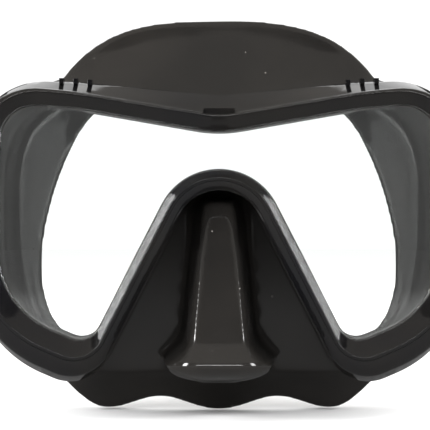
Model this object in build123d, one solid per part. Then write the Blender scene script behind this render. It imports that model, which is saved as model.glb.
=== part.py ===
from build123d import *
import os
from math import cos, hypot, radians, sin, tan

# Diving mask with one M-shaped pane, a silicone skirt and a strap on two quick-release buckles.
# Millimetres. +Z is up, the pane faces -Y and the face meets the skirt on the +Y side.
# +X is the wearer's left. The origin is on the middle plane, at the depth of the face seal,
# so a distance behind the front of the bezel, called a depth below, is y = depth - seal_depth.

seal_depth = 50.0

# The pane's visible outline, right half: middle of the brow, brow bend, upper corner, widest
# point, cheek corner, bottom of the lobe, and the notch over the nose.
glass_half_width = 76.5
glass_dip_height = 28.5
brow_bend_x = 50.0
brow_bend_height = 37.2
glass_corner_height = 38.4
corner_inset = 1.6
widest_height = 2.0
cheek_inset = 0.9
cheek_height = -32.0
lobe_height = -45.4
notch_apex_height = 15.3
notch_apex_radius = 21.6
notch_side_angle = 62.8
dip_radius = 45.0
brow_bend_radius = 150.0
corner_radius = 12.0
widest_radius = 120.0
cheek_radius = 30.0
lobe_radius = 8.0

# Cuts run past a face, and joined blocks overlap, by this much. Cutting tools reach past it all.
overlap = 1.0
far_reach = 200.0

# Depths of the stack behind the front of the bezel.
lens_depth = 4.5
lens_thickness = 4.0
flange_thickness = 2.0
bezel_thickness = 8.0
frame_back_depth = 21.0
brow_back_depth = 18.0

# Widths measured outwards from the visible edge of the glass.
lens_hidden_edge = 2.4
rim_width = 4.0
rim_clearance = 0.15
wall_outset = 1.5
skirt_wall = 2.2
frame_clearance = 0.1

# Bezel: width at the dip, brow bend, corner, side, cheek and nose, then its raised crest.
bezel_widths = (6.0, 5.4, 7.3, 10.0, 13.0, 6.8)
crest_outer_widths = (5.3, 4.8, 5.6, 7.0, 7.1, 3.7)
crest_inner_widths = (4.2, 3.7, 4.4, 5.6, 5.3, 2.1)
frame_widths = (13.4, 9.4, 8.8, 10.8, 16.2, 7.0)
crest_height = 0.9
crest_edge = 0.35
glass_land = 0.6
band_depth = 4.6
# The band's convex face between its crest and its edge: share of the width and depth gained.
band_profile = ((0.4, 0.35), (0.75, 1.3))

# Locking key at the middle of the brow, a trapezoid seen from the front.
key_top_half_width = 5.4
key_bottom_half_width = 4.1
key_height = 2.6
key_above_bezel = 1.9
key_depth = 1.2
key_length = 11.0
key_clearance = 0.15

# Three ribs on each side of the frame's top edge.
rib_count = 3
rib_pitch = 4.95
rib_first_x = 45.0
rib_width = 1.6
rib_height = 1.0
rib_length = 6.0
rib_overhang = 2.0

# Skirt behind the frame: body depths and the head it seals against.
skirt_gap = 0.3
skirt_front_depth = frame_back_depth + skirt_gap
skirt_waist_depth = 34.0
skirt_dome_depth = 42.5
skirt_rear_depth = 60.0
forehead_depth = 45.0
well_step = 0.1
head_radius = 110.0
lip_thickness = 1.8
opening_start_depth = 38.5
dome_height = 71.0
chin_height = -71.0
rear_share = 0.965

# Nose pocket and the well for the fingers beside it. Each level of the pocket, from the bridge
# down, is its height, the depth and half width of its front, its half width at the back and the
# radius of its front corners.
pocket_levels = (
    (5.6, 17.5, 3.6, 8.0, 2.4),
    (4.4, 14.2, 4.8, 8.5, 2.4),
    (2.0, 12.3, 5.6, 8.9, 2.4),
    (-41.0, -7.0, 9.6, 13.5, 2.8),
    (-45.0, -9.0, 11.0, 15.0, 4.5),
    (-48.5, -11.6, 14.6, 17.8, 8.5),
    (-50.6, -13.0, 18.2, 20.0, 13.0),
    (-52.4, -11.6, 17.2, 19.4, 12.5),
    (-55.6, -5.0, 12.6, 17.0, 9.5),
    (-57.6, 3.0, 7.0, 12.0, 5.5),
)
# The levels where the crown ends, where the flange starts to flare, and where its rim is.
crown_end = 2
flange_start = 3
flange_end = 6
well_depth = 34.0
notch_lead = 40.0
pocket_wall = 2.2

# Strap, laid out level behind the pivots and then raised to the crown of the head.
strap_rise = 24.0
strap_width = 16.0
strap_thickness = 2.2
strap_back_reach = 124.0
strap_corner_radius = 62.0
panel_width = 24.0
panel_half_length = 40.0
panel_taper = 18.0
panel_slot_height = 6.0
panel_slot_half_length = 32.0
tail_length = 29.0
keeper_reach = 40.0
keeper_length = 6.0
keeper_wall = 1.2
keeper_side_clearance = 0.4

# Buckle and the lugs that carry it.
pivot_depth = 29.0
pivot_height = 5.0
lug_radius = 6.5
lug_thickness = 2.8
lug_inner_clearance = 4.2
tongue_thickness = 4.0
tongue_side_gap = 0.3
tongue_half_height = 5.5
lug_root = 8.0
pivot_pin_radius = 1.8
pin_head_radius = 3.2
pin_head_height = 1.0
press_clearance = 0.02
shaft_clearance = 0.08
web_front = 7.4
web_back = 17.6
strap_side_clearance = 0.8
cheek_plate = 2.4
buckle_thickness = 9.0
buckle_shift = 1.1
buckle_corner = 2.5
roller_reach = 25.0
roller_inset = 4.6
roller_radius = 3.0
roller_pin_radius = 1.2
roller_end_gap = 0.3
roller_flutes = 12
flute_radius = 0.5
strap_roller_gap = 0.3
cheek_end = 30.0
cover_thickness = 1.5
cover_chamfer = 0.4
button_reach = 12.5
button_flange_radius = 4.4
button_radius = 3.5
button_gap = 0.3
button_flange = 3.0
button_stand = 3.4
button_end_gap = 0.1
button_edge = 0.6
spring_height = 2.7
spring_wall = 0.5
spring_taper = 1.6
screw_radius = 1.0
screw_head_radius = 1.9
screw_head_height = 0.8
screw_length = 5.0
screw_slot = 0.5
screw_edge = 3.0

sides = (("left", 1), ("right", -1))


def at(depth):
    """The y of a depth behind the front of the bezel."""
    return depth - seal_depth


# ---------------------------------------------------------------- the pane's family of outlines


def surround(dip, brow, corner, side, bottom, nose):
    """Corners (x, z, radius) of the glass outline, moved outwards by a width at each place."""
    side_slope = tan(radians(notch_side_angle))
    side_tilt = 1 / cos(radians(notch_side_angle))
    notch_top = notch_apex_height + notch_apex_radius * (side_tilt - 1)
    lobe_x = (notch_top - lobe_height) / side_slope
    cheek_x = glass_half_width - cheek_inset
    bottom_slope = (cheek_height - lobe_height) / (cheek_x - lobe_x)
    bottom_line = lobe_height - bottom_slope * lobe_x - bottom * hypot(1, bottom_slope)
    notch_line = notch_top - nose * side_tilt
    outer_lobe_x = (notch_line - bottom_line) / (side_slope + bottom_slope)
    return [
        (0.0, glass_dip_height + dip, dip_radius - dip),
        (brow_bend_x, brow_bend_height + brow, brow_bend_radius),
        (
            glass_half_width - corner_inset + side,
            glass_corner_height + corner,
            corner_radius + 1.5 * min(corner, side),
        ),
        (glass_half_width + side, widest_height, widest_radius),
        (
            cheek_x + side,
            bottom_line + bottom_slope * (cheek_x + side),
            cheek_radius + min(side, bottom),
        ),
        (outer_lobe_x, notch_line - side_slope * outer_lobe_x, lobe_radius + min(bottom, nose)),
        (0.0, notch_line, notch_apex_radius - nose),
    ]


def even(width):
    """The glass outline moved outwards by one width all round."""
    return surround(width, width, width, width, width, width)


def between(first, second, share):
    """Corners part of the way from one outline to another."""
    return [
        tuple(a + (b - a) * share for a, b in zip(one, other))
        for one, other in zip(first, second)
    ]


def rounded_wire(corners, y):
    """Closed wire at y. The first and last corners are on the middle plane, the rest mirror."""
    mirrored = [(-x, z, radius) for x, z, radius in reversed(corners[1:-1])]
    loop = corners + mirrored
    starts = []
    middles = []
    ends = []
    for index, (x, z, radius) in enumerate(loop):
        before = loop[index - 1]
        after = loop[(index + 1) % len(loop)]
        back = Vector(before[0] - x, 0, before[1] - z).normalized()
        onward = Vector(after[0] - x, 0, after[1] - z).normalized()
        half_turn = radians(180 - back.get_angle(onward)) / 2
        corner = Vector(x, y, z)
        starts.append(corner + back * radius * tan(half_turn))
        ends.append(corner + onward * radius * tan(half_turn))
        reach = radius * (1 / cos(half_turn) - 1)
        middles.append(corner + (back + onward).normalized() * reach if radius else corner)
    edges = []
    for index, start in enumerate(starts):
        if loop[index][2] > 0:
            edges.append(Edge.make_three_point_arc(start, middles[index], ends[index]))
        edges.append(Edge.make_line(ends[index], starts[(index + 1) % len(starts)]))
    return Wire(edges)


def slab(corners, front, back):
    """The outline made solid between two depths."""
    face = Face(rounded_wire(corners, at(front)))
    return Solid.extrude(face, Vector(0, back - front, 0))


def stack(*levels, ruled=True):
    """Solid through several (corners, depth) levels, front to back."""
    return Solid.make_loft([rounded_wire(corners, at(depth)) for corners, depth in levels], ruled)


glass = even(0.0)
bezel_edge = surround(*bezel_widths)
crest_outer = surround(*crest_outer_widths)
crest_inner = surround(*crest_inner_widths)
frame_edge = surround(*frame_widths)

lens_back = lens_depth + lens_thickness
flange_back = lens_back + flange_thickness


def make_lens():
    return slab(even(lens_hidden_edge), lens_depth, lens_back)


def make_bezel():
    """Retaining ring: a convex band, a raised crest and a funnel down to the glass."""
    convex = [
        (between(crest_outer, bezel_edge, share), crest_height + gained)
        for share, gained in band_profile
    ]
    band = stack((crest_outer, crest_height), *convex, (bezel_edge, band_depth), ruled=False)
    wall = slab(bezel_edge, band_depth, bezel_thickness)
    crest = stack(
        (between(crest_outer, crest_inner, 0.45), 0.0),
        (between(crest_outer, crest_inner, 0.12), crest_edge),
        (crest_outer, crest_height),
    )
    funnel = stack(
        (between(crest_inner, crest_outer, 0.25), 0.0),
        (crest_inner, crest_edge),
        (glass, lens_depth - glass_land),
        (glass, lens_depth),
    )
    seat = slab(even(rim_width + rim_clearance), lens_depth, bezel_thickness)
    return (wall + band + crest) - funnel - seat - key_block(key_clearance)


def key_block(grow):
    """The locking key's trapezoid, with an allowance all round."""
    top = glass_dip_height + bezel_widths[0] + key_above_bezel
    bottom = top - key_height
    outline = Polyline(
        (-key_top_half_width - grow, at(key_depth), top),
        (key_top_half_width + grow, at(key_depth), top),
        (key_bottom_half_width + grow, at(key_depth), bottom - grow),
        (-key_bottom_half_width - grow, at(key_depth), bottom - grow),
        close=True,
    )
    return Solid.extrude(Face(Wire(outline.edges())), Vector(0, key_length, 0))


def make_bezel_key(main_frame):
    return key_block(0.0) - main_frame


def lug_plate(inner, outer):
    """One lug: a plate reaching back from the frame to a rounded end round the pivot."""
    pivot_y = at(pivot_depth)
    root_y = at(frame_back_depth - lug_root)
    plate = Pos((inner + outer) / 2, (root_y + pivot_y) / 2, pivot_height) * Box(
        outer - inner, pivot_y - root_y, 2 * lug_radius
    )
    turn = Pos((inner + outer) / 2, pivot_y, pivot_height) * Rot(0, 90, 0)
    return plate + turn * Cylinder(lug_radius, outer - inner)


lug_inner_x = glass_half_width + lug_inner_clearance
tongue_x = lug_inner_x + lug_thickness + tongue_side_gap
outer_lug_x = tongue_x + tongue_thickness + tongue_side_gap
lug_outer_x = outer_lug_x + lug_thickness


def along_x(radius, start, end, y, z):
    """Cylinder from start to end along X."""
    return Pos((start + end) / 2, y, z) * Rot(0, 90, 0) * Cylinder(radius, end - start)


def make_main_frame():
    """Frame behind the bezel: brow, shoulders, ribs on the top edge and the strap lugs."""
    shell = stack((bezel_edge, bezel_thickness), (frame_edge, brow_back_depth))
    rear = slab(frame_edge, brow_back_depth, frame_back_depth)
    body = shell + rear
    for _, side in sides:
        for index in range(rib_count):
            x = rib_first_x + index * rib_pitch
            z = top_edge_height(x)
            rib = Pos(side * x, at(brow_back_depth) + rib_overhang - rib_length / 2, z) * Box(
                rib_width, rib_length, 2 * rib_height
            )
            body += rib
        lugs = lug_plate(lug_inner_x, lug_inner_x + lug_thickness)
        lugs += lug_plate(outer_lug_x, lug_outer_x)
        root_depth = frame_back_depth - lug_root
        lugs += Pos(
            (lug_inner_x + lug_outer_x) / 2, at(frame_back_depth) - lug_root / 2, pivot_height
        ) * Box(lug_outer_x - lug_inner_x, lug_root, 2 * lug_radius)
        lugs -= along_x(
            pivot_pin_radius + press_clearance,
            lug_inner_x - overlap,
            lug_outer_x + overlap,
            at(pivot_depth),
            pivot_height,
        )
        body += lugs if side > 0 else mirror(lugs, about=Plane.YZ)
    passage = slab(even(wall_outset + frame_clearance), 0, frame_back_depth + overlap)
    seat = slab(even(rim_width + rim_clearance), 0, flange_back)
    return body - passage - seat


def top_edge_height(x):
    """Height of the frame's top edge at x, between the dip and the upper corner."""
    dip, bend, corner = frame_edge[0], frame_edge[1], frame_edge[2]
    first, last = (dip, bend) if x < bend[0] else (bend, corner)
    return first[1] + (last[1] - first[1]) * (x - first[0]) / (last[0] - first[0])


# ---------------------------------------------------------------- skirt


def smooth_wire(half, y):
    """Closed smooth wire at y through a right half's points, from top middle to bottom middle."""
    points = [(x, y, z) for x, z in half]
    points += [(-x, y, z) for x, z in reversed(half[1:-1])]
    return Wire([Edge.make_spline([Vector(*point) for point in points], periodic=True)])


def skirt_sections():
    """Right halves of the skirt's body at its front, waist, dome and rear, with their depths."""
    w = glass_half_width
    brow = brow_bend_height
    lobe = lobe_height
    front = [
        (0, glass_dip_height + 7), (24, brow + 1.8), (44, brow + 5), (56, brow + 6),
        (w - 14, brow + 6), (w - 2, brow - 3), (w + 2.8, 18), (w + 3.2, widest_height),
        (w + 2.4, -20), (w - 6, lobe + 5), (w - 20, lobe - 4), (42, lobe - 7), (30, lobe - 7),
        (21, lobe - 7), (10, lobe - 7), (0, lobe - 7),
    ]
    waist = [
        (0, dome_height - 19), (24, dome_height - 20.5), (44, dome_height - 24.5), (55, brow + 7.5),
        (w - 14, brow + 4.8), (w - 3, brow - 3.5), (w + 2.6, 18), (w + 3, widest_height),
        (w + 2, -20), (w - 6, lobe + 3), (w - 20, lobe - 8), (42, lobe - 11), (30, lobe - 11),
        (21, lobe - 10.7), (10, lobe - 10.5), (0, lobe - 10.5),
    ]
    dome = [
        (0, dome_height), (24, dome_height - 1.4), (42, dome_height - 7.4), (53.5, brow + 17),
        (61, brow + 8.2), (w - 4, brow - 1.5), (w + 2.6, 17), (w + 3.3, widest_height),
        (w + 2, -20), (w - 6.5, lobe), (w - 20.5, lobe - 15), (42, chin_height + 0.7),
        (30, chin_height + 3), (21, chin_height + 4.8), (10, chin_height + 2), (0, chin_height),
    ]
    rear = [(x * rear_share, z * rear_share) for x, z in dome]
    return (
        (front, skirt_front_depth),
        (waist, skirt_waist_depth),
        (dome, skirt_dome_depth),
        (rear, skirt_rear_depth),
    )


def inset(half, amount):
    """A right half's points pulled in towards the middle along the outline's own normals."""
    result = []
    for index, (x, z) in enumerate(half):
        before = half[index - 1] if index else (-half[1][0], half[1][1])
        last = index == len(half) - 1
        after = (-half[index - 1][0], half[index - 1][1]) if last else half[index + 1]
        run = after[0] - before[0]
        rise = after[1] - before[1]
        length = hypot(run, rise)
        result.append((x + amount * rise / length, z - amount * run / length))
    return result


def skirt_body(thickness_in, thickness_back):
    """The skirt's outer or inner body: a smooth loft to the dome, then straight to the rear."""
    wires = []
    for half, depth in skirt_sections():
        back = thickness_back if depth < skirt_rear_depth else 0
        wires.append(smooth_wire(inset(half, thickness_in), at(depth + back)))
    return Solid.make_loft(wires[:3]) + Solid.make_loft(wires[2:], ruled=True)


def head_form(grow):
    """The head that the skirt seals on: a cylinder for the forehead, flat at the temples."""
    centre_y = at(forehead_depth) + head_radius
    forehead = Pos(0, centre_y, 0) * Cylinder(head_radius + grow, 2 * far_reach)
    rear_y = at(skirt_rear_depth) - grow
    temples = Pos(0, rear_y + far_reach / 2, 0) * Box(2 * far_reach, far_reach, 2 * far_reach)
    return forehead + temples


def notch_prism(nose_width, back):
    """The notch over the nose, carried straight down and back from in front of the bezel."""
    side_slope = tan(radians(notch_side_angle))
    side_tilt = 1 / cos(radians(notch_side_angle))
    top = notch_apex_height + notch_apex_radius * (side_tilt - 1) - nose_width * side_tilt
    foot = 2 * chin_height
    corners = [
        (0.0, top, notch_apex_radius - nose_width),
        ((top - foot) / side_slope, foot, 0.0),
        (0.0, foot, 0.0),
    ]
    return slab(corners, -notch_lead, back)


def pocket(grow, back):
    """Nose pocket, widening and coming forward down to a flange, then a rounded underside."""
    wires = []
    for index, (z, front, half_front, half_back, radius) in enumerate(pocket_levels):
        if index <= crown_end:
            z += grow
        if index > flange_end:
            z -= grow * (index - flange_end) / (len(pocket_levels) - 1 - flange_end)
        corners = [
            (-half_back - grow, at(back)),
            (half_back + grow, at(back)),
            (half_front + grow, at(front) - grow),
            (-half_front - grow, at(front) - grow),
        ]
        rounding = radius + grow * radius / half_front
        outline = FilletPolyline(
            *[(x, y, z) for x, y in corners], radius=(0, 0, rounding, rounding), close=True
        )
        wires.append(Wire(outline.edges()))
    crown = Solid.make_loft(wires[: crown_end + 1])
    ridge = Solid.make_loft(wires[crown_end : flange_start + 1], ruled=True)
    flare = Solid.make_loft(wires[flange_start : flange_end + 1])
    underside = Solid.make_loft(wires[flange_end:])
    return crown + ridge + flare + underside


def face_opening():
    """Where the face looks in: through the seal lip."""
    w = glass_half_width
    half = [
        (0, 46), (28, 44.5), (w - 30.5, 37), (w - 19.5, 20), (w - 13.5, 2), (w - 11, -12),
        (w - 11.5, -28), (w - 15.5, -39), (w - 24.5, -47), (30, -52), (0, -53.5),
    ]
    wire = smooth_wire(half, at(opening_start_depth))
    return Solid.extrude(Face(wire), Vector(0, far_reach, 0))


def make_skirt():
    """One moulding: rim round the glass, walls, forehead dome, nose pocket and seal lip."""
    rim = slab(even(rim_width), lens_depth, flange_back)
    rim -= slab(even(lens_hidden_edge), lens_depth, lens_back)
    neck = slab(even(wall_outset), lens_back, skirt_front_depth + skirt_wall)
    shell = skirt_body(0.0, 0.0) - head_form(0.0)
    well_inside = notch_prism(wall_outset - skirt_wall + well_step, well_depth + skirt_wall)
    cavity = skirt_body(skirt_wall, skirt_wall) - head_form(lip_thickness) - well_inside
    body = shell - cavity - face_opening()
    body = body + neck + rim
    body -= slab(even(wall_outset - skirt_wall), lens_back, skirt_front_depth + 2 * skirt_wall)
    body -= notch_prism(wall_outset + well_step, well_depth)
    body += pocket(0.0, well_depth + skirt_wall / 2)
    body -= pocket(-pocket_wall, well_depth + 2 * skirt_wall)
    return body


# ---------------------------------------------------------------- buckles and strap
# These are drawn level, with the pivot at y = 0, z = 0 on the left side, and then raised.

buckle_half_height = strap_width / 2 + strap_side_clearance + cheek_plate
screw_offset = buckle_half_height - screw_edge
buckle_inner_x = tongue_x - (buckle_thickness - tongue_thickness) / 2 + buckle_shift
buckle_outer_x = buckle_inner_x + buckle_thickness
roller_x = buckle_inner_x + roller_inset
loop_inner_radius = roller_radius + strap_roller_gap
loop_outer_radius = loop_inner_radius + strap_thickness
run_x = roller_x - loop_inner_radius - strap_thickness / 2
tail_x = roller_x + loop_inner_radius + strap_thickness / 2
button_seat_x = buckle_outer_x - button_flange - spring_height


def raised(shape):
    """Move a level piece to the pivot and turn it up towards the crown of the head."""
    return Pos(0, at(pivot_depth), pivot_height) * Rot(strap_rise, 0, 0) * shape


def on_side(shape, side):
    """The left piece as it is, or mirrored for the right."""
    return shape if side > 0 else mirror(shape, about=Plane.YZ)


def block(x_range, y_range, z_range):
    """Box between pairs of coordinates."""
    spans = (x_range, y_range, z_range)
    centre = [(low + high) / 2 for low, high in spans]
    return Pos(*centre) * Box(*[high - low for low, high in spans])


def upright(radius, half_height, x, y):
    """Cylinder along Z, centred on the strap's middle line."""
    return Pos(x, y, 0) * Cylinder(radius, 2 * half_height)


def make_buckle_body():
    """Tongue between the lugs, a web with the button's well, and two cheeks for the roller."""
    tongue_span = (tongue_x, tongue_x + tongue_thickness)
    tongue = block(tongue_span, (0, web_front + overlap), (-tongue_half_height, tongue_half_height))
    tongue += along_x(tongue_half_height, *tongue_span, 0, 0)
    across = (buckle_inner_x, buckle_outer_x)
    web = block(across, (web_front, web_back), (-buckle_half_height, buckle_half_height))
    cheeks = block(across, (web_back, cheek_end), (-buckle_half_height, buckle_half_height))
    gap = buckle_half_height - cheek_plate
    cheeks -= block(
        (across[0] - overlap, across[1] + overlap), (web_back, cheek_end + overlap), (-gap, gap)
    )
    body = web + cheeks
    corners = body.edges().filter_by(Axis.X).group_by(Axis.Y)
    body = fillet(corners[0], buckle_corner)
    corners = body.edges().filter_by(Axis.X).group_by(Axis.Y)
    body = fillet(corners[-1].sort_by(Axis.Z)[::3], min(buckle_corner, 0.8 * cheek_plate))
    body += tongue
    bore_end = tongue_x + tongue_thickness + overlap
    body -= along_x(pivot_pin_radius + shaft_clearance, tongue_x - overlap, bore_end, 0, 0)
    body -= upright(roller_pin_radius + press_clearance, buckle_half_height, roller_x, roller_reach)
    body -= along_x(
        button_flange_radius + button_gap, button_seat_x, buckle_outer_x, button_reach, 0
    )
    for z in (-screw_offset, screw_offset):
        start = buckle_outer_x + cover_thickness - screw_length
        body -= along_x(screw_radius + press_clearance, start, buckle_outer_x, button_reach, z)
    return body


def make_buckle_cover():
    """Cover plate over the button's well, open for the button and two screws."""
    across = (buckle_outer_x, buckle_outer_x + cover_thickness)
    cover = block(across, (web_front, web_back), (-buckle_half_height, buckle_half_height))
    cover = fillet(cover.edges().filter_by(Axis.X), buckle_corner)
    cover = chamfer(cover.faces().sort_by(Axis.X)[-1].edges(), cover_chamfer)
    cover -= along_x(button_radius + button_gap, *across, button_reach, 0)
    for z in (-screw_offset, screw_offset):
        cover -= along_x(screw_radius + press_clearance, *across, button_reach, z)
        head_floor = across[1] - screw_head_height
        cover -= along_x(screw_head_radius + press_clearance, head_floor, across[1], button_reach, z)
    return cover


def make_cover_screws():
    top = buckle_outer_x + cover_thickness
    screws = Part()
    for z in (-screw_offset, screw_offset):
        screw = along_x(screw_radius, top - screw_length, top, button_reach, z)
        screw += along_x(screw_head_radius, top - screw_head_height, top, button_reach, z)
        slot = block(
            (top - screw_head_height / 2, top + overlap),
            (button_reach - 2 * screw_head_radius, button_reach + 2 * screw_head_radius),
            (z - screw_slot / 2, z + screw_slot / 2),
        )
        screws += screw - slot
    return screws


def make_release_button():
    """Round push button with a flange kept in by the cover."""
    flange_end = buckle_outer_x - button_end_gap
    flange_start = button_seat_x + spring_height
    button = along_x(button_flange_radius, flange_start, flange_end, button_reach, 0)
    button += along_x(
        button_radius, flange_end - overlap, buckle_outer_x + button_stand, button_reach, 0
    )
    face = button.faces().sort_by(Axis.X)[-1]
    return fillet(face.edges(), button_edge)


def make_button_spring():
    """Hollow silicone cone that returns the button."""
    seat = Pos(button_seat_x + spring_height / 2, button_reach, 0) * Rot(0, 90, 0)
    foot = button_flange_radius - spring_wall
    outer = Cone(foot, foot - spring_taper, spring_height)
    inner = Cone(foot - spring_wall, foot - spring_taper - spring_wall, spring_height)
    return seat * (outer - inner)


def make_pivot_pin():
    """Pin through both lugs, with its head on the outer lug."""
    pin = along_x(pivot_pin_radius, lug_inner_x, lug_outer_x, 0, 0)
    head = along_x(pin_head_radius, lug_outer_x, lug_outer_x + pin_head_height, 0, 0)
    head = fillet(head.faces().sort_by(Axis.X)[-1].edges(), pin_head_height / 2)
    return Pos(0, at(pivot_depth), pivot_height) * (pin + head)


def make_strap_roller():
    """Fluted roller that the strap goes round."""
    half = buckle_half_height - cheek_plate - roller_end_gap
    roller = upright(roller_radius, half, roller_x, roller_reach)
    for index in range(roller_flutes):
        angle = radians(360 / roller_flutes * index)
        x = roller_x + roller_radius * cos(angle)
        y = roller_reach + roller_radius * sin(angle)
        roller -= upright(flute_radius, half, x, y)
    return roller - upright(roller_pin_radius + shaft_clearance, half, roller_x, roller_reach)


def make_roller_pin():
    return upright(roller_pin_radius, buckle_half_height, roller_x, roller_reach)


def strap_plan(half_width, reach, radius):
    """The strap's plan from one roller round the back of the head to the other."""
    front = roller_reach
    outline = FilletPolyline(
        (half_width, front), (half_width, reach), (-half_width, reach), (-half_width, front),
        radius=(0, radius, radius, 0), close=True,
    )
    return make_face(outline)


def make_strap():
    """One rubber moulding: a split panel behind the head, and a fold round each roller."""
    half = strap_thickness / 2
    plan = strap_plan(run_x + half, strap_back_reach + half, strap_corner_radius + half)
    plan -= strap_plan(run_x - half, strap_back_reach - half, strap_corner_radius - half)
    for _, side in sides:
        loop = Pos(side * roller_x, roller_reach) * (
            Circle(loop_outer_radius) - Circle(loop_inner_radius)
        )
        loop -= Pos(side * roller_x, roller_reach + strap_width) * Rectangle(
            2 * strap_width, 2 * strap_width
        )
        plan += loop
        plan += Pos(side * tail_x, roller_reach + tail_length / 2) * Rectangle(
            strap_thickness, tail_length
        )
    band = extrude(plan, panel_width, both=True)
    low = strap_width / 2
    high = panel_width / 2
    taper_end = panel_half_length + panel_taper
    far = 2 * run_x
    upper_half = [
        (far, low), (taper_end, low), (panel_half_length, high),
        (-panel_half_length, high), (-taper_end, low), (-far, low),
    ]
    lower_half = [(-x, -z) for x, z in upper_half]
    side_view = Plane.XZ * make_face(Polyline(*upper_half, *lower_half, close=True))
    strap = band & extrude(side_view, 2 * strap_back_reach, both=True)
    slot = Plane.XZ * SlotOverall(2 * panel_slot_half_length, panel_slot_height)
    slot = Pos(0, strap_back_reach, 0) * extrude(slot, strap_width, both=True)
    return strap - slot


def make_strap_keeper():
    """Loop round the strap and its folded tail."""
    x_range = (run_x - strap_thickness / 2, tail_x + strap_thickness / 2)
    y_range = (keeper_reach, keeper_reach + keeper_length)
    half = strap_width / 2 + keeper_side_clearance
    outer_x = (x_range[0] - keeper_wall, x_range[1] + keeper_wall)
    outer = block(outer_x, y_range, (-half - keeper_wall, half + keeper_wall))
    outer = fillet(outer.edges().filter_by(Axis.Y), keeper_wall)
    return outer - block(x_range, y_range, (-half, half))


def make_nodes():
    """Every piece by its node's name."""
    main_frame = make_main_frame()
    nodes = {
        "main_frame": main_frame,
        "bezel_ring": make_bezel(),
        "bezel_key": make_bezel_key(main_frame),
        "lens": make_lens(),
        "skirt": make_skirt(),
        "strap": raised(make_strap()),
    }
    side_pieces = {
        "pivot_pin": make_pivot_pin(),
        "buckle_body": raised(make_buckle_body()),
        "buckle_cover": raised(make_buckle_cover()),
        "cover_screws": raised(make_cover_screws()),
        "release_button": raised(make_release_button()),
        "button_spring": raised(make_button_spring()),
        "strap_roller": raised(make_strap_roller()),
        "roller_pin": raised(make_roller_pin()),
        "strap_keeper": raised(make_strap_keeper()),
    }
    for piece, shape in side_pieces.items():
        for name, side in sides:
            nodes[f"{piece}_{name}"] = on_side(shape, side)
    return nodes


if __name__ == "__main__":
    os.makedirs("parts", exist_ok=True)
    for name, shape in make_nodes().items():
        export_step(shape, f"parts/{name}.step")
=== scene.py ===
from math import radians

import bpy
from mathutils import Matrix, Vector


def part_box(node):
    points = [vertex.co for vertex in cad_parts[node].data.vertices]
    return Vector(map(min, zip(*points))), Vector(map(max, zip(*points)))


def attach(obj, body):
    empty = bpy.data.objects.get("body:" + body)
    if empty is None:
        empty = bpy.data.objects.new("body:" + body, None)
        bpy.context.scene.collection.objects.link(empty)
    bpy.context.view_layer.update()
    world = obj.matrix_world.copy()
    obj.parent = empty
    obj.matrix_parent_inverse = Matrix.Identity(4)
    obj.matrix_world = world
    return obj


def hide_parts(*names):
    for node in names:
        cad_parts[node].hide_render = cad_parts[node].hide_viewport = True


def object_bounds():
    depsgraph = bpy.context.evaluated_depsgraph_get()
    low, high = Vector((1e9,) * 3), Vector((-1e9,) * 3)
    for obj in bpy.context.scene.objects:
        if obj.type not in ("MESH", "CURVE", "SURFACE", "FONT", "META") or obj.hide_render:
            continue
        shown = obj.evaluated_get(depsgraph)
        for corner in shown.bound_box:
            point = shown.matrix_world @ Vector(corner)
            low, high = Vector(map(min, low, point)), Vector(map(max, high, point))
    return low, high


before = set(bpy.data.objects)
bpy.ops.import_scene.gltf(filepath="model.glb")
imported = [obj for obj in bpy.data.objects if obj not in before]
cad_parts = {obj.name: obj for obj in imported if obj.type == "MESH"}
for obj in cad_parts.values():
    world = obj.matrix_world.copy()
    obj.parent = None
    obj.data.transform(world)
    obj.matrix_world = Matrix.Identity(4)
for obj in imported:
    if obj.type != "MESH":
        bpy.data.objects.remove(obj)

# Diving mask: moulded frame and bezel, glass pane, silicone skirt, rubber strap and buckles.
# Metres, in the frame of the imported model: the pane faces -Y, +Z is up.

SIDES = (("left", 1), ("right", -1))    # the wearer's left is +X
WELD = 0.00001                          # points closer than this are one point

cad_box = [list(corner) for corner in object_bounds()]
bpy.ops.object.select_all(action="DESELECT")

# ------------------------------------------------------------------ camera

VIEW_WIDTH = 0.1463        # how wide the view is at the front of the bezel
CAMERA_DISTANCE = 0.600    # from the front of the bezel
CAMERA_SIDE = -0.0014      # the camera stands this far off the middle
NEAREST_SEEN = 0.05
SENSOR_MM = 36
bezel_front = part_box("bezel_ring")[0].y
camera_data = bpy.data.cameras.new("studio_camera")
camera_data.sensor_width = SENSOR_MM
camera_data.lens = SENSOR_MM * CAMERA_DISTANCE / VIEW_WIDTH
camera_data.clip_start = NEAREST_SEEN
camera = bpy.data.objects.new("studio_camera", camera_data)
camera.location = (CAMERA_SIDE, bezel_front - CAMERA_DISTANCE, 0.0)
camera.rotation_euler = (radians(90), 0, 0)
bpy.context.scene.collection.objects.link(camera)
bpy.context.scene.camera = camera


# ------------------------------------------------------------------ small helpers


def select_only(obj):
    """Make obj the one selected and active object."""
    bpy.ops.object.select_all(action="DESELECT")
    obj.select_set(True)
    bpy.context.view_layer.objects.active = obj


def apply_modifier(obj, kind, **settings):
    """Add a modifier, give it its settings and apply it."""
    select_only(obj)
    modifier = obj.modifiers.new(kind.lower(), kind)
    for name, value in settings.items():
        setattr(modifier, name, value)
    bpy.ops.object.modifier_apply(modifier=modifier.name)


def node_copy(node, name):
    """A free copy of a CAD node's mesh with its loose triangles merged."""
    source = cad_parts[node]
    copy = bpy.data.objects.new(name, source.data.copy())
    bpy.context.scene.collection.objects.link(copy)
    copy.data.materials.clear()
    select_only(copy)
    bpy.ops.object.mode_set(mode="EDIT")
    bpy.ops.mesh.select_all(action="SELECT")
    bpy.ops.mesh.remove_doubles(threshold=WELD)
    bpy.ops.object.mode_set(mode="OBJECT")
    return copy


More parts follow.
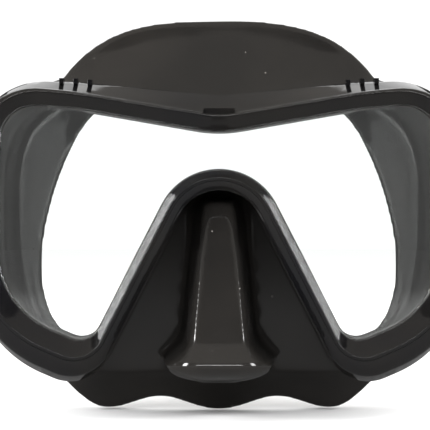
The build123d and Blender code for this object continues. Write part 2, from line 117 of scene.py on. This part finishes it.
def finish_piece(piece, body, material, slot, *nodes):
    """Give a piece its material and body, and hide the CAD nodes it stands for. The slot argument
    is not used.
    """
    piece.data.materials.clear()
    piece.data.materials.append(material)
    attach(piece, body)
    if nodes:
        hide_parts(*nodes)


# ------------------------------------------------------------------ shader helpers


def math_node(tree, operation):
    """Math node for one operation."""
    node = tree.nodes.new("ShaderNodeMath")
    node.operation = operation
    return node


def noise(tree, scale, detail):
    """Noise texture on Object coordinates."""
    place = tree.nodes.new("ShaderNodeTexCoord")
    node = tree.nodes.new("ShaderNodeTexNoise")
    node.inputs["Scale"].default_value = scale
    node.inputs["Detail"].default_value = detail
    tree.links.new(place.outputs["Object"], node.inputs["Vector"])
    return node


def ramp(tree, low, high, to_low=0.0, to_high=1.0):
    """Map Range node from low..high to to_low..to_high, clamped."""
    node = tree.nodes.new("ShaderNodeMapRange")
    node.inputs["From Min"].default_value = low
    node.inputs["From Max"].default_value = high
    node.inputs["To Min"].default_value = to_low
    node.inputs["To Max"].default_value = to_high
    return node


def colour_mix(tree, low, high):
    """Colour mix from low to high by its Factor."""
    node = tree.nodes.new("ShaderNodeMix")
    node.data_type = "RGBA"
    node.inputs["A"].default_value = (*low, 1)
    node.inputs["B"].default_value = (*high, 1)
    return node


def new_group(name, inputs, outputs):
    """Shader node group with float inputs and the given outputs."""
    group = bpy.data.node_groups.new(name, "ShaderNodeTree")
    for label, value in inputs:
        socket = group.interface.new_socket(label, in_out="INPUT", socket_type="NodeSocketFloat")
        socket.default_value = value
    for label, kind in outputs:
        group.interface.new_socket(label, in_out="OUTPUT", socket_type=kind)
    return group, group.nodes.new("NodeGroupInput"), group.nodes.new("NodeGroupOutput")


def add_group(tree, group, **values):
    """Place a shared group in a material with its own values."""
    node = tree.nodes.new("ShaderNodeGroup")
    node.node_tree = group
    for name, value in values.items():
        node.inputs[name.replace("_", " ")].default_value = value
    return node


def new_material(name):
    """Node material that holds one Principled shader."""
    material = bpy.data.materials.new(name)
    material.use_nodes = True
    tree = material.node_tree
    tree.nodes.clear()
    shader = tree.nodes.new("ShaderNodeBsdfPrincipled")
    surface = tree.nodes.new("ShaderNodeOutputMaterial")
    tree.links.new(shader.outputs["BSDF"], surface.inputs["Surface"])
    return material, tree, shader


# ------------------------------------------------------------------ materials


def make_moulding_group():
    """Skin of a moulding: a faint ripple, fine grain, and a roughness that drifts."""
    group, given, out = new_group(
        "moulding_skin",
        [("Ripple Scale", 60.0), ("Grain Scale", 900.0), ("Grain", 0.2),
         ("Depth", 0.00002), ("Smoothest", 0.08), ("Roughest", 0.16)],
        [("Normal", "NodeSocketVector"), ("Roughness", "NodeSocketFloat")],
    )
    ripple = noise(group, 60.0, 2.0)
    grain = noise(group, 900.0, 3.0)
    height = math_node(group, "MULTIPLY_ADD")
    bump = group.nodes.new("ShaderNodeBump")
    drift = ramp(group, 0.3, 0.7)
    link = group.links.new
    link(given.outputs["Ripple Scale"], ripple.inputs["Scale"])
    link(given.outputs["Grain Scale"], grain.inputs["Scale"])
    link(grain.outputs["Fac"], height.inputs[0])
    link(given.outputs["Grain"], height.inputs[1])
    link(ripple.outputs["Fac"], height.inputs[2])
    link(height.outputs["Value"], bump.inputs["Height"])
    link(given.outputs["Depth"], bump.inputs["Distance"])
    link(ripple.outputs["Fac"], drift.inputs["Value"])
    link(given.outputs["Smoothest"], drift.inputs["To Min"])
    link(given.outputs["Roughest"], drift.inputs["To Max"])
    link(bump.outputs["Normal"], out.inputs["Normal"])
    link(drift.outputs["Result"], out.inputs["Roughness"])
    return group


def make_dust_group():
    """Sparse specks of dust: a mask from small cells, most of them empty."""
    group, given, out = new_group(
        "dust_specks", [("Scale", 260.0), ("Amount", 0.08), ("Size", 0.22)],
        [("Mask", "NodeSocketFloat")],
    )
    place = group.nodes.new("ShaderNodeTexCoord")
    cells = group.nodes.new("ShaderNodeTexVoronoi")
    chance = group.nodes.new("ShaderNodeSeparateColor")
    near = math_node(group, "LESS_THAN")
    few = math_node(group, "LESS_THAN")
    both = math_node(group, "MULTIPLY")
    link = group.links.new
    link(place.outputs["Object"], cells.inputs["Vector"])
    link(given.outputs["Scale"], cells.inputs["Scale"])
    link(cells.outputs["Distance"], near.inputs[0])
    link(given.outputs["Size"], near.inputs[1])
    link(cells.outputs["Color"], chance.inputs["Color"])
    link(chance.outputs["Red"], few.inputs[0])
    link(given.outputs["Amount"], few.inputs[1])
    link(near.outputs["Value"], both.inputs[0])
    link(few.outputs["Value"], both.inputs[1])
    link(both.outputs["Value"], out.inputs["Mask"])
    return group


moulding_skin = make_moulding_group()
dust_specks = make_dust_group()


def moulded(name, colour, tint, dust_colour, gloss, ripple, grain, depth, dust):
    """Moulded plastic, silicone or rubber with grain, drifting gloss and a little dust."""
    material, tree, shader = new_material(name)
    skin = add_group(
        tree, moulding_skin, Ripple_Scale=ripple, Grain_Scale=grain[0], Grain=grain[1],
        Depth=depth, Smoothest=gloss[0], Roughest=gloss[1],
    )
    cloud = noise(tree, 25.0, 4.0)
    spread = ramp(tree, 0.35, 0.65)
    base = colour_mix(tree, colour, tint)
    specks = add_group(tree, dust_specks, **dust)
    dusted = colour_mix(tree, colour, dust_colour)
    link = tree.links.new
    link(cloud.outputs["Fac"], spread.inputs["Value"])
    link(spread.outputs["Result"], base.inputs["Factor"])
    link(base.outputs["Result"], dusted.inputs["A"])
    link(specks.outputs["Mask"], dusted.inputs["Factor"])
    link(dusted.outputs["Result"], shader.inputs["Base Color"])
    link(skin.outputs["Roughness"], shader.inputs["Roughness"])
    link(skin.outputs["Normal"], shader.inputs["Normal"])
    return material


def make_glass():
    """Clear toughened glass with a faint film, open to shadows and to light that scattered."""
    material, tree, shader = new_material("clear_glass")
    shader.inputs["Base Color"].default_value = (0.97, 0.99, 0.98, 1)
    shader.inputs["Transmission Weight"].default_value = 1.0
    shader.inputs["IOR"].default_value = 1.5
    film = noise(tree, 40.0, 2.0)
    haze = ramp(tree, 0.45, 0.8, to_high=0.02)
    clear = tree.nodes.new("ShaderNodeBsdfTransparent")
    path = tree.nodes.new("ShaderNodeLightPath")
    passed = math_node(tree, "MAXIMUM")
    mix = tree.nodes.new("ShaderNodeMixShader")
    surface = next(node for node in tree.nodes if node.type == "OUTPUT_MATERIAL")
    link = tree.links.new
    link(film.outputs["Fac"], haze.inputs["Value"])
    link(haze.outputs["Result"], shader.inputs["Roughness"])
    link(path.outputs["Is Shadow Ray"], passed.inputs[0])
    link(path.outputs["Is Diffuse Ray"], passed.inputs[1])
    link(passed.outputs["Value"], mix.inputs["Fac"])
    link(shader.outputs["BSDF"], mix.inputs[1])
    link(clear.outputs["BSDF"], mix.inputs[2])
    link(mix.outputs["Shader"], surface.inputs["Surface"])
    return material


def make_steel():
    """Stainless pins and screws with a fine turned finish, drawn out along their axes."""
    material, tree, shader = new_material("turned_steel")
    shader.inputs["Metallic"].default_value = 1.0
    place = tree.nodes.new("ShaderNodeTexCoord")
    stretch = tree.nodes.new("ShaderNodeMapping")
    stretch.inputs["Scale"].default_value = (300, 4000, 4000)
    lines = tree.nodes.new("ShaderNodeTexNoise")
    lines.inputs["Scale"].default_value = 1.0
    base = colour_mix(tree, (0.52, 0.52, 0.51), (0.66, 0.66, 0.65))
    brushing = ramp(tree, 0.3, 0.7, to_low=0.22, to_high=0.4)
    link = tree.links.new
    link(place.outputs["Object"], stretch.inputs["Vector"])
    link(stretch.outputs["Vector"], lines.inputs["Vector"])
    link(lines.outputs["Fac"], base.inputs["Factor"])
    link(base.outputs["Result"], shader.inputs["Base Color"])
    link(lines.outputs["Fac"], brushing.inputs["Value"])
    link(brushing.outputs["Result"], shader.inputs["Roughness"])
    return material


frame_plastic = moulded(
    "gloss_black_plastic", colour=(0.0035, 0.0035, 0.004), tint=(0.006, 0.0055, 0.005),
    dust_colour=(0.10, 0.10, 0.10), gloss=(0.035, 0.08), ripple=55.0, grain=(700.0, 0.06),
    depth=0.00002, dust={"Scale": 420.0, "Amount": 0.02, "Size": 0.10},
)
skirt_silicone = moulded(
    "gloss_black_silicone", colour=(0.008, 0.0075, 0.007), tint=(0.012, 0.011, 0.010),
    dust_colour=(0.16, 0.15, 0.14), gloss=(0.07, 0.15), ripple=35.0, grain=(1100.0, 0.08),
    depth=0.00003, dust={"Scale": 420.0, "Amount": 0.05, "Size": 0.11},
)
strap_rubber = moulded(
    "satin_black_rubber", colour=(0.010, 0.010, 0.010), tint=(0.016, 0.015, 0.014),
    dust_colour=(0.10, 0.10, 0.09), gloss=(0.38, 0.52), ripple=80.0, grain=(2200.0, 0.6),
    depth=0.00005, dust={"Scale": 280.0, "Amount": 0.04, "Size": 0.16},
)
buckle_plastic = moulded(
    "satin_black_plastic", colour=(0.012, 0.012, 0.013), tint=(0.018, 0.018, 0.018),
    dust_colour=(0.10, 0.10, 0.10), gloss=(0.26, 0.36), ripple=90.0, grain=(2600.0, 0.8),
    depth=0.00004, dust={"Scale": 300.0, "Amount": 0.02, "Size": 0.16},
)
lens_glass = make_glass()
pin_steel = make_steel()


# ------------------------------------------------------------------ CAD nodes that stay

CREASE = radians(35)


def dress(node, material):
    """Material for a CAD node, its triangles joined for smooth shading up to a crease."""
    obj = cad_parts[node]
    obj.data.materials.clear()
    obj.data.materials.append(material)
    for face in obj.data.polygons:
        face.use_smooth = True
    weld = obj.modifiers.new("joined", "WELD")
    weld.merge_threshold = WELD
    split = obj.modifiers.new("creases", "EDGE_SPLIT")
    split.split_angle = CREASE


dress("bezel_key", frame_plastic)
dress("lens", lens_glass)
for end, _ in SIDES:
    for piece in ("release_button", "strap_roller"):
        dress(f"{piece}_{end}", buckle_plastic)
    for piece in ("pivot_pin", "cover_screws", "roller_pin"):
        dress(f"{piece}_{end}", pin_steel)
    dress(f"button_spring_{end}", skirt_silicone)


# ------------------------------------------------------------------ mouldings with broken edges

SHARP_EDGE = radians(30)       # edges sharper than this get a radius
FACET_EDGE = radians(14)       # faces that meet flatter than this are shaded as one
FRAME_RADIUS = 0.0003
COVER_RADIUS = 0.0001
BUCKLE_RADIUS = 0.00035
STRAP_RADIUS = 0.0004
KEEPER_RADIUS = 0.0003


def break_edges(node, name, body, material, slot, radius, segments=2):
    """A moulding whose sharp edges have the small radius that the tool leaves."""
    moulding = node_copy(node, name)
    apply_modifier(moulding, "BEVEL", width=radius, segments=segments, limit_method="ANGLE",
                   angle_limit=SHARP_EDGE)
    select_only(moulding)
    bpy.ops.object.shade_smooth_by_angle(angle=FACET_EDGE)
    weighted = moulding.modifiers.new("face_weighted", "WEIGHTED_NORMAL")
    weighted.keep_sharp = True
    finish_piece(moulding, body, material, slot, node)


break_edges("main_frame", "moulded_frame", "mask", frame_plastic, "frame_plastic", FRAME_RADIUS)
break_edges("bezel_ring", "retaining_bezel", "mask", frame_plastic, "frame_plastic",
            FRAME_RADIUS)
for end, _ in SIDES:
    break_edges(f"buckle_body_{end}", f"buckle_frame_{end}", "head_strap", buckle_plastic,
                "buckle_plastic", BUCKLE_RADIUS)
    break_edges(f"buckle_cover_{end}", f"buckle_lid_{end}", "head_strap", frame_plastic,
                "frame_plastic", COVER_RADIUS)


# ------------------------------------------------------------------ silicone skirt

SKIRT_GRAIN = 0.00088      # how fine the skirt's mesh is made before it is smoothed
SKIRT_SMOOTHING = 12
SKIRT_SHARE = 0.6          # the part of the skirt's triangles that is kept


def make_skirt():
    """The skirt's moulding with all its edges rounded as silicone's are."""
    skirt = node_copy("skirt", "silicone_skirt")
    apply_modifier(skirt, "REMESH", mode="VOXEL", voxel_size=SKIRT_GRAIN, adaptivity=0)
    apply_modifier(skirt, "SMOOTH", factor=0.5, iterations=SKIRT_SMOOTHING)
    apply_modifier(skirt, "DECIMATE", ratio=SKIRT_SHARE)
    select_only(skirt)
    bpy.ops.object.shade_smooth()
    finish_piece(skirt, "mask", skirt_silicone, "skirt_silicone", "skirt")


make_skirt()


# ------------------------------------------------------------------ strap and keepers

break_edges("strap", "head_strap_band", "head_strap", strap_rubber, "strap_rubber",
            STRAP_RADIUS, segments=3)
for end, _ in SIDES:
    break_edges(f"strap_keeper_{end}", f"keeper_loop_{end}", "head_strap", strap_rubber,
                "strap_rubber", KEEPER_RADIUS)


# ------------------------------------------------------------------ teeth on the strap's tails

PIVOT = (0.0, -0.021, 0.005)       # where the strap swings on the frame, as in the CAD
STRAP_RISE = radians(24)           # how far the strap slopes up at rest, as in the CAD
TOOTH_SIZE = (0.0009, 0.0007, 0.0138)
TOOTH_RADIUS = 0.0002
TOOTH_CREASE = radians(38)
TOOTH_PITCH = 0.0014
TOOTH_RUNS = ((0.0315, 6), (0.0475, 4))    # each run's first tooth behind the pivot, and how many


def make_tail_teeth(end, side):
    """Moulded ribs across the outside of a tail, clear of the keeper."""
    reaches = [start + place * TOOTH_PITCH for start, count in TOOTH_RUNS
               for place in range(count)]
    tail_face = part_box("strap")[1].x
    bpy.ops.object.select_all(action="DESELECT")
    bpy.ops.mesh.primitive_cube_add(size=1, location=(side * tail_face, reaches[0], 0))
    tooth = bpy.context.active_object
    tooth.scale = TOOTH_SIZE
    bpy.ops.object.transform_apply(location=True, rotation=True, scale=True)
    apply_modifier(tooth, "BEVEL", width=TOOTH_RADIUS, segments=2)
    teeth = [tooth]
    for reach in reaches[1:]:
        select_only(tooth)
        bpy.ops.object.duplicate(linked=False)
        copy = bpy.context.active_object
        copy.location.y += reach - reaches[0]
        teeth.append(copy)
    bpy.ops.object.select_all(action="DESELECT")
    for one in teeth:
        one.select_set(True)
    bpy.context.view_layer.objects.active = tooth
    bpy.ops.object.transform_apply(location=True, rotation=True, scale=True)
    bpy.ops.object.join()
    row = bpy.context.active_object
    row.name = f"tail_teeth_{end}"
    row.rotation_euler = (STRAP_RISE, 0, 0)
    row.location = PIVOT
    bpy.ops.object.transform_apply(location=True, rotation=True, scale=True)
    bpy.ops.object.shade_smooth_by_angle(angle=TOOTH_CREASE)
    finish_piece(row, "head_strap", strap_rubber, "strap_rubber")


for end, side in SIDES:
    make_tail_teeth(end, side)


# ------------------------------------------------------------------ studio

FLOOR_SIZE = 6.0
FLOOR_HEIGHT = cad_box[0][2]
MIRRORED_FLOOR = 0.16      # how bright the floor is to mirrored rays, against 1 for the rest
SURROUND = 1.12
MIRRORED_SURROUND = 0.02


def make_floor():
    """Pale floor under the mask, darker where the black gloss mirrors it."""
    bpy.ops.mesh.primitive_plane_add(size=FLOOR_SIZE, location=(0, 0, FLOOR_HEIGHT))
    floor = bpy.context.active_object
    floor.name = "studio_floor"
    material, tree, shader = new_material("white_table")
    shader.inputs["Roughness"].default_value = 1.0
    shader.inputs["Specular IOR Level"].default_value = 0.0
    fibre = noise(tree, 400.0, 2.0)
    tone = colour_mix(tree, (0.9, 0.9, 0.9), (0.92, 0.92, 0.92))
    path = tree.nodes.new("ShaderNodeLightPath")
    only_mirrored = math_node(tree, "SUBTRACT")
    only_mirrored.use_clamp = True
    shown = colour_mix(tree, (1, 1, 1), (MIRRORED_FLOOR,) * 3)
    link = tree.links.new
    link(fibre.outputs["Fac"], tone.inputs["Factor"])
    link(path.outputs["Is Glossy Ray"], only_mirrored.inputs[0])
    link(path.outputs["Is Transmission Ray"], only_mirrored.inputs[1])
    link(only_mirrored.outputs["Value"], shown.inputs["Factor"])
    link(tone.outputs["Result"], shown.inputs["A"])
    link(shown.outputs["Result"], shader.inputs["Base Color"])
    floor.data.materials.append(material)


def make_world():
    """Bright to the camera, through the glass and for soft light, nearly dark to mirrored rays."""
    world = bpy.data.worlds.new("studio_surround")
    world.use_nodes = True
    bpy.context.scene.world = world
    tree = world.node_tree
    tree.nodes.clear()
    path = tree.nodes.new("ShaderNodeLightPath")
    seen = math_node(tree, "MAXIMUM")
    seen_or_soft = math_node(tree, "MAXIMUM")
    bright = tree.nodes.new("ShaderNodeBackground")
    bright.inputs["Color"].default_value = (1, 1, 1, 1)
    bright.inputs["Strength"].default_value = SURROUND
    dim = tree.nodes.new("ShaderNodeBackground")
    dim.inputs["Strength"].default_value = MIRRORED_SURROUND
    mix = tree.nodes.new("ShaderNodeMixShader")
    out = tree.nodes.new("ShaderNodeOutputWorld")
    link = tree.links.new
    link(path.outputs["Is Camera Ray"], seen.inputs[0])
    link(path.outputs["Is Transmission Ray"], seen.inputs[1])
    link(seen.outputs["Value"], seen_or_soft.inputs[0])
    link(path.outputs["Is Diffuse Ray"], seen_or_soft.inputs[1])
    link(seen_or_soft.outputs["Value"], mix.inputs["Fac"])
    link(dim.outputs["Background"], mix.inputs[1])
    link(bright.outputs["Background"], mix.inputs[2])
    link(mix.outputs["Shader"], out.inputs["Surface"])


def softbox(name, place, aim, width, height, watts, colour=(1, 1, 1)):
    """Rectangular area light at place, facing aim."""
    data = bpy.data.lights.new(name, "AREA")
    data.shape = "RECTANGLE"
    data.size = width
    data.size_y = height
    data.energy = watts
    data.color = colour
    light = bpy.data.objects.new(name, data)
    light.location = place
    light.rotation_euler = (Vector(aim) - Vector(place)).to_track_quat("-Z", "Y").to_euler()
    bpy.context.scene.collection.objects.link(light)


make_floor()
make_world()
softbox("overhead_softbox", (0, 0.1, 1.0), (0, 0.1, 0), 2.6, 2.0, 6.9, (1.0, 0.95, 0.88))
softbox("front_strip", (0, -0.95, 0.36), (0, 0, 0), 1.0, 0.08, 6.5)
softbox("left_softbox", (-0.8, -0.5, 0.15), (0, 0, 0), 0.2, 0.9, 16.0)
softbox("right_softbox", (0.8, -0.5, 0.15), (0, 0, 0), 0.16, 0.9, 9.0)
softbox("back_fill", (0, 1.1, 0.7), (0, 0.1, 0), 1.4, 0.7, 4)

bpy.context.scene.view_settings.view_transform = "Standard"
